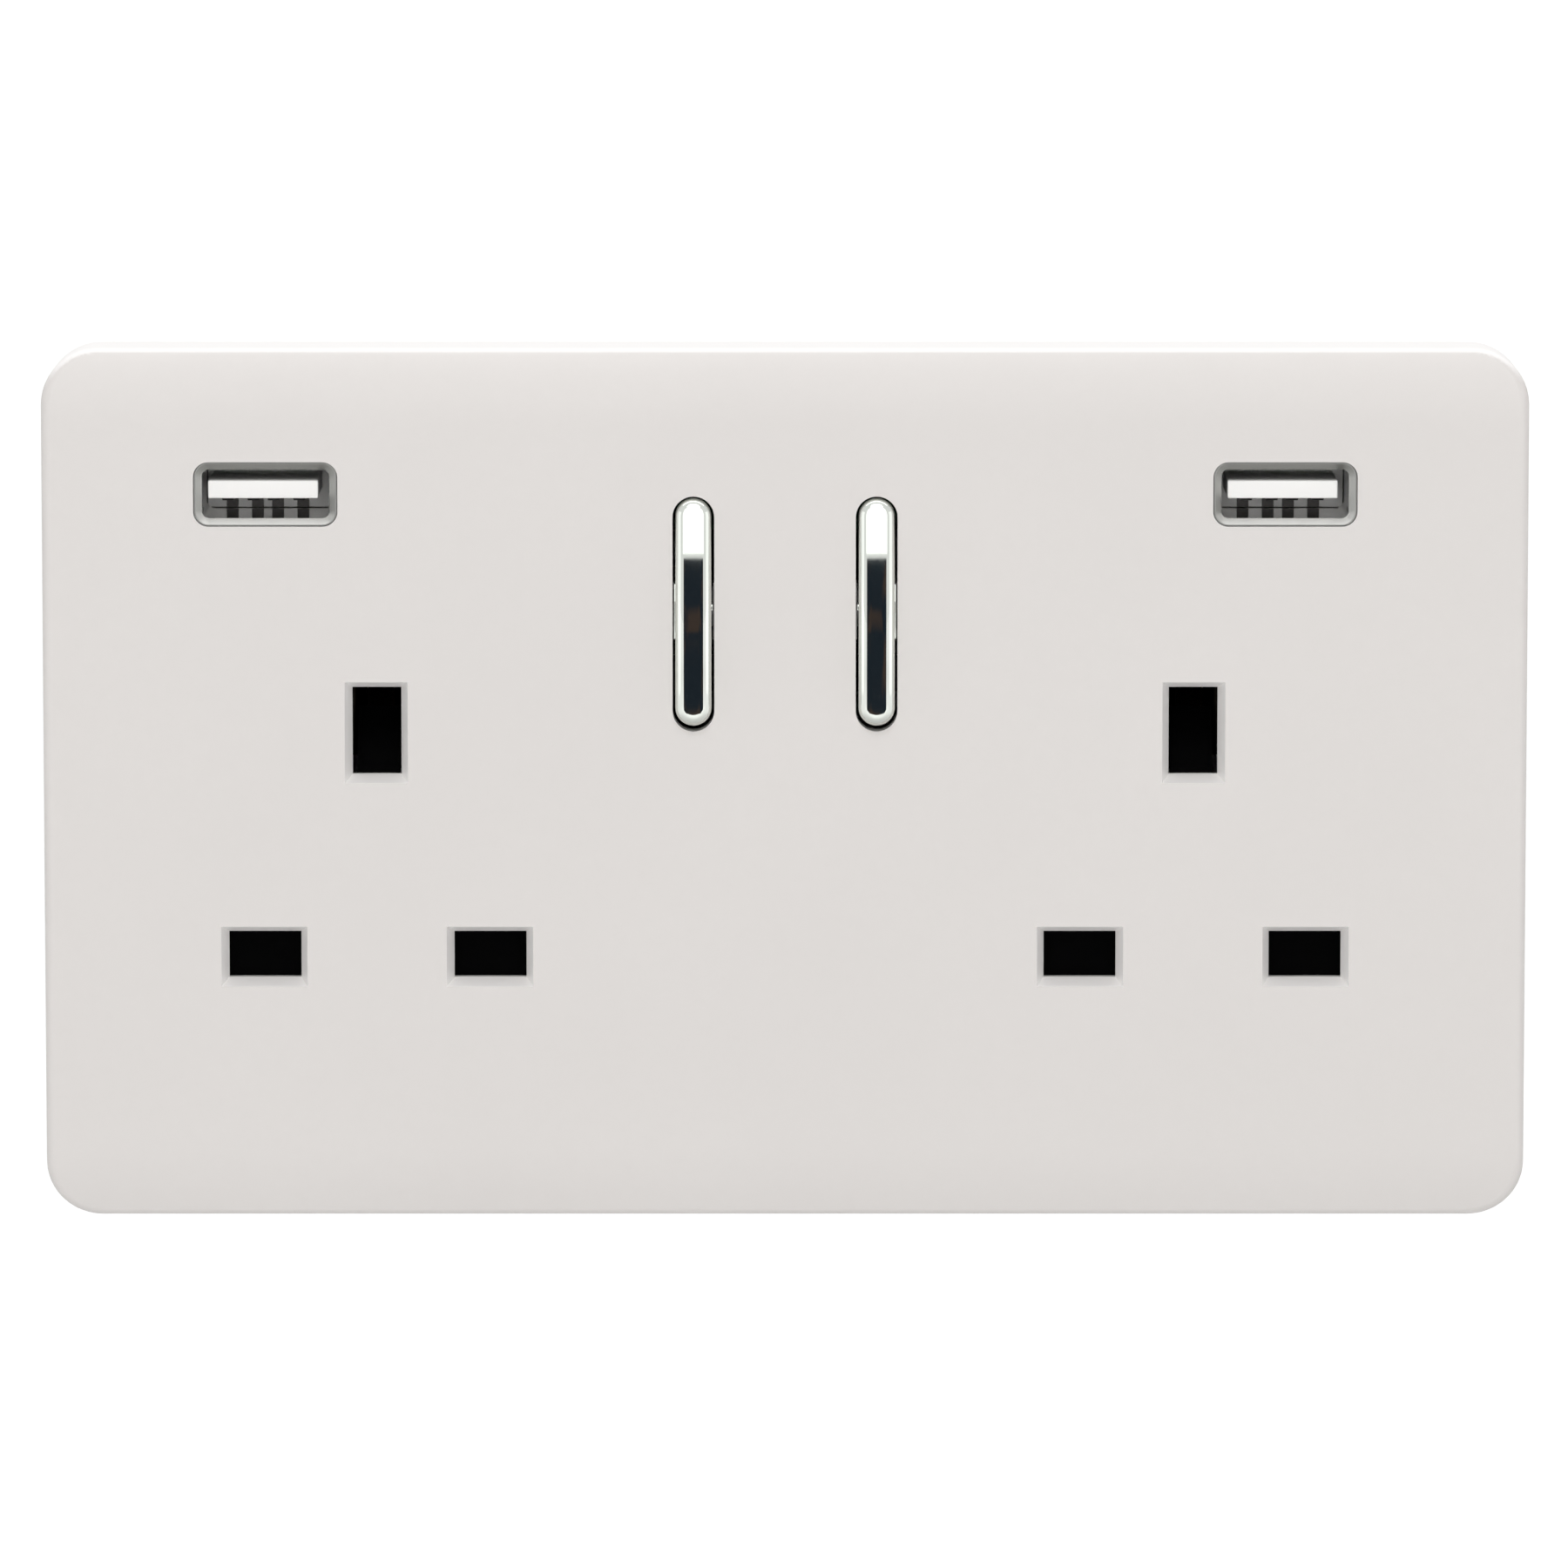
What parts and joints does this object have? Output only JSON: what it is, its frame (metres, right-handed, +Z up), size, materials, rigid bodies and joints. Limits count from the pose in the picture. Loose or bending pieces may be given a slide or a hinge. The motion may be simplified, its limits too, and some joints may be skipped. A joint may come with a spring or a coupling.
{
  "type": "usb wall socket",
  "caption": "Double switched wall socket with a clip-on plate, chrome rockers, shuttered three-pin outlets and USB-A charging ports over a mounting frame and rear housing.",
  "frame": {"origin": "midway between the two fixing screws, on the wall plane", "axes": "+Y into the wall, +Z up, +X right as seen from the front"},
  "size_m": [0.146, 0.0369, 0.086],
  "materials": {
    "plate": "moulded warm white, satin gloss",
    "frame": "moulded white, matt",
    "housing": "moulded white, fine spark texture",
    "inner_moulding": "moulded white nylon",
    "shutter": "black moulded",
    "plunger": "natural nylon",
    "lever_chrome": "bright chrome plate",
    "contact_brass": "pressed brass strip",
    "terminal_brass": "machined brass",
    "terminal_screw": "turned brass",
    "spring_steel": "spring wire",
    "steel_screw": "bright zinc plate",
    "port_steel": "nickel-plated sheet",
    "port_insulator": "moulded off-white",
    "port_contact": "plated contact strip, dark in the port",
    "board": "green solder resist",
    "transformer": "ferrite core with yellow tape",
    "capacitor": "sleeved aluminium can",
    "film_capacitor": "epoxy box",
    "choke": "shrink-sleeved coil",
    "chip": "moulded package"
  },
  "bodies": {
    "root": {"mounting_frame": "frame", "rear_housing": "housing", "assembly_screws": "steel_screw", "shutter_spring_left": "spring_steel", "shutter_spring_right": "spring_steel", "shutter_retainer_left": "inner_moulding", "shutter_retainer_right": "inner_moulding", "earth_bar": "contact_brass", "neutral_bar": "contact_brass", "line_contact_left": "contact_brass", "line_contact_right": "contact_brass", "switch_feed": "contact_brass", "line_terminal": "terminal_brass", "neutral_terminal": "terminal_brass", "earth_terminal_left": "terminal_brass", "earth_terminal_right": "terminal_brass", "terminal_screws": "terminal_screw", "usb_shell_left": "port_steel", "usb_shell_right": "port_steel", "usb_insulator_left": "port_insulator", "usb_insulator_right": "port_insulator", "usb_contacts_left": "port_contact", "usb_contacts_right": "port_contact", "circuit_board": "board", "transformer": "transformer", "input_capacitor": "capacitor", "output_capacitors": "capacitor", "film_capacitor": "film_capacitor", "choke": "choke", "controller_chip": "chip"},
    "cover": {"front_plate": "plate"},
    "shutter_left": {"shutter_left": "shutter"},
    "rocker_left": {"rocker_cap_left": "lever_chrome", "rocker_left": "inner_moulding", "plunger_spring_left": "spring_steel"},
    "plunger_left": {"plunger_left": "plunger"},
    "contact_arm_left": {"contact_arm_left": "contact_brass"},
    "shutter_right": {"shutter_right": "shutter"},
    "rocker_right": {"rocker_cap_right": "lever_chrome", "rocker_right": "inner_moulding", "plunger_spring_right": "spring_steel"},
    "plunger_right": {"plunger_right": "plunger"},
    "contact_arm_right": {"contact_arm_right": "contact_brass"}
  },
  "joints": [
    {"name": "cover_lift", "type": "slide", "parent": "root", "child": "cover", "axis": [0, -1, 0], "range_m": [0, 0.03]},
    {"name": "rocker_left_tilt", "type": "hinge", "parent": "root", "child": "rocker_left", "pos_m": [-0.009, -0.0054, 0.0169], "axis": [1, 0, 0], "range_deg": [0, 7]},
    {"name": "plunger_left_slide", "type": "slide", "parent": "rocker_left", "child": "plunger_left", "axis": [0, -0.9981, 0.061], "range_m": [0, 0.0008], "stiffness_N_per_m": 1500, "springref_m": -0.0015, "deforming": ["plunger_spring_left"]},
    {"name": "contact_arm_left_tilt", "type": "hinge", "parent": "root", "child": "contact_arm_left", "pos_m": [-0.009, 0.0153, 0.0169], "axis": [1, 0, 0], "range_deg": [-12, 0]},
    {"name": "shutter_left_slide", "type": "slide", "parent": "root", "child": "shutter_left", "axis": [0, 0, -1], "range_m": [0, 0.0058], "stiffness_N_per_m": 150, "springref_m": -0.004, "deforming": ["shutter_spring_left"]},
    {"name": "rocker_right_tilt", "type": "hinge", "parent": "root", "child": "rocker_right", "pos_m": [0.009, -0.0054, 0.0169], "axis": [1, 0, 0], "range_deg": [0, 7]},
    {"name": "plunger_right_slide", "type": "slide", "parent": "rocker_right", "child": "plunger_right", "axis": [0, -0.9981, 0.061], "range_m": [0, 0.0008], "stiffness_N_per_m": 1500, "springref_m": -0.0015, "deforming": ["plunger_spring_right"]},
    {"name": "contact_arm_right_tilt", "type": "hinge", "parent": "root", "child": "contact_arm_right", "pos_m": [0.009, 0.0153, 0.0169], "axis": [1, 0, 0], "range_deg": [-12, 0]},
    {"name": "shutter_right_slide", "type": "slide", "parent": "root", "child": "shutter_right", "axis": [0, 0, -1], "range_m": [0, 0.0058], "stiffness_N_per_m": 150, "springref_m": -0.004, "deforming": ["shutter_spring_right"]}
  ],
  "couplings": [
    {"joint": "contact_arm_left_tilt", "follows": "rocker_left_tilt", "ratio": -1.7143},
    {"joint": "contact_arm_right_tilt", "follows": "rocker_right_tilt", "ratio": -1.7143}
  ]
}
